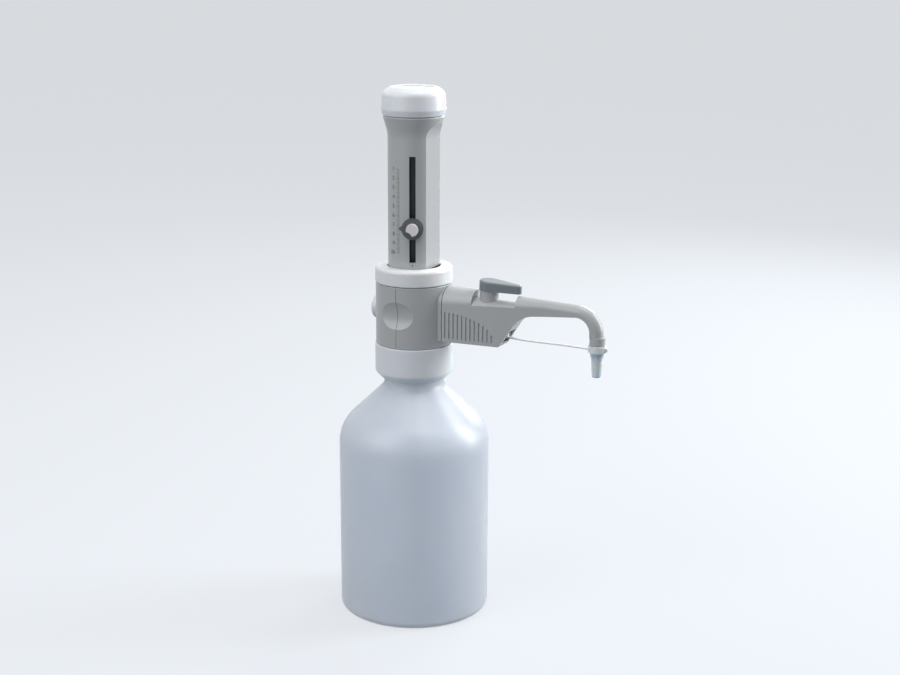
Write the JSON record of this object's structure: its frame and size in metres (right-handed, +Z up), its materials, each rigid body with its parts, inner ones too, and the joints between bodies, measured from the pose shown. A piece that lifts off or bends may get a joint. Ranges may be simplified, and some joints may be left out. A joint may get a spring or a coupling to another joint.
{
  "type": "bottle-top dispenser",
  "caption": "Bottle-top dispenser on a round bottle: piston under a lifting sleeve with a scale and pointer, hollow arm with a valve lever, and a capped spout on a strap.",
  "frame": {"origin": "middle of the bottle's base, on the surface it stands on", "axes": "+Z up along the bottle's axis, +X along the arm towards the spout"},
  "size_m": [0.1927, 0.1034, 0.3626],
  "materials": {
    "bottle_plastic": "milky, translucent, satin",
    "cylinder_glass": "clear",
    "grey_plastic": "satin",
    "white_plastic": "satin",
    "clear_white_plastic": "satin, translucent in the real object",
    "dark_plastic": "satin",
    "lever_plastic": "satin",
    "inner_plastic": "matte",
    "steel": "bright",
    "seal_rubber": "matte",
    "ball_ceramic": "polished"
  },
  "bodies": {
    "bottle": {"bottle": "bottle_plastic"},
    "mounting": {"neck_gasket": "seal_rubber"},
    "collar": {"threaded_collar": "white_plastic"},
    "head": {"valve_block": "inner_plastic", "housing_arm_half": "grey_plastic", "housing_vent_half": "grey_plastic", "cylinder_seal": "seal_rubber", "cylinder": "cylinder_glass", "guard_tube": "inner_plastic", "sleeve_guide": "inner_plastic", "intake_valve_body": "inner_plastic", "filling_tube_upper": "clear_white_plastic", "recirculation_tube": "clear_white_plastic", "discharge_valve_seat": "inner_plastic", "coupling_nut": "inner_plastic", "coupling_o_ring": "seal_rubber", "feed_tube": "clear_white_plastic", "return_tube": "clear_white_plastic", "valve_body": "inner_plastic", "arm_cover": "grey_plastic", "discharge_tube": "clear_white_plastic", "spout_neck": "grey_plastic", "tether_strap": "white_plastic", "strap_pin": "steel"},
    "lift": {"operating_sleeve": "grey_plastic", "piston": "inner_plastic", "top_cap": "white_plastic", "piston_clamp": "inner_plastic"},
    "cover": {"calibration_cover": "white_plastic"},
    "adjuster": {"calibration_nut": "dark_plastic"},
    "pointer": {"pointer": "dark_plastic", "pointer_nut": "inner_plastic"},
    "pointer_screw": {"pointer_screw": "white_plastic"},
    "ring": {"safety_ring": "white_plastic"},
    "vent": {"vent_cap": "white_plastic"},
    "intake_ball": {"intake_ball": "ball_ceramic"},
    "discharge_ball": {"discharge_ball": "ball_ceramic", "discharge_spring": "steel"},
    "valve": {"valve_lever": "lever_plastic", "valve_plug": "inner_plastic"},
    "strap_ring": {"cap_ring": "white_plastic"},
    "tip_cap": {"tip_cap": "clear_white_plastic"},
    "tube_lower": {"filling_tube_lower": "clear_white_plastic"}
  },
  "joints": [
    {"name": "collar_rise", "type": "slide", "parent": "bottle", "child": "mounting", "axis": [0, 0, 1], "range_m": [0, 0.008]},
    {"name": "collar_turn", "type": "hinge", "parent": "mounting", "child": "collar", "pos_m": [0, 0, 0.18], "axis": [0, 0, 1], "range_deg": [0, 720]},
    {"name": "head_swivel", "type": "hinge", "parent": "mounting", "child": "head", "pos_m": [0, 0, 0.1852], "axis": [0, 0, 1], "continuous": true},
    {"name": "sleeve_lift", "type": "slide", "parent": "head", "child": "lift", "axis": [0, 0, 1], "range_m": [0, 0.062]},
    {"name": "cover_lift", "type": "slide", "parent": "lift", "child": "cover", "axis": [0, 0, 1], "range_m": [0, 0.008]},
    {"name": "adjuster_turn", "type": "hinge", "parent": "lift", "child": "adjuster", "pos_m": [0, 0, 0.355], "axis": [0, 0, 1], "range_deg": [-180, 180]},
    {"name": "pointer_slide", "type": "slide", "parent": "lift", "child": "pointer", "axis": [0, 0, 1], "range_m": [-0.0168, 0.0392]},
    {"name": "pointer_screw_turn", "type": "hinge", "parent": "pointer", "child": "pointer_screw", "pos_m": [0.00861, -0.01871, 0.2708], "axis": [0.4179, -0.9085, 0], "range_deg": [0, 270]},
    {"name": "ring_turn", "type": "hinge", "parent": "head", "child": "ring", "pos_m": [0, 0, 0.238], "axis": [0, 0, 1], "range_deg": [0, 60]},
    {"name": "vent_pull", "type": "slide", "parent": "head", "child": "vent", "axis": [-1, 0, 0], "range_m": [0, 0.01]},
    {"name": "intake_ball_lift", "type": "slide", "parent": "head", "child": "intake_ball", "axis": [0, 0, 1], "range_m": [0, 0.0012]},
    {"name": "discharge_ball_push", "type": "slide", "parent": "head", "child": "discharge_ball", "axis": [1, 0, 0], "range_m": [0, 0.0012], "stiffness_N_per_m": 40, "springref_m": -0.001},
    {"name": "valve_turn", "type": "hinge", "parent": "head", "child": "valve", "pos_m": [0.0565, 0, 0.23186], "axis": [0.0349, 0, 0.9994], "range_deg": [0, 180]},
    {"name": "cap_drop", "type": "slide", "parent": "head", "child": "strap_ring", "axis": [0, 0, -1], "range_m": [0, 0.004]},
    {"name": "cap_turn", "type": "hinge", "parent": "strap_ring", "child": "tip_cap", "pos_m": [0.1336, 0, 0.2], "axis": [0, 0, -1], "range_deg": [0, 720]},
    {"name": "tube_slide", "type": "slide", "parent": "head", "child": "tube_lower", "axis": [0, 0, 1], "range_m": [0, 0.06]}
  ],
  "couplings": [
    {"joint": "collar_turn", "follows": "collar_rise", "rad_per_m": 1570.8},
    {"joint": "cap_turn", "follows": "cap_drop", "rad_per_m": 3141.6}
  ]
}
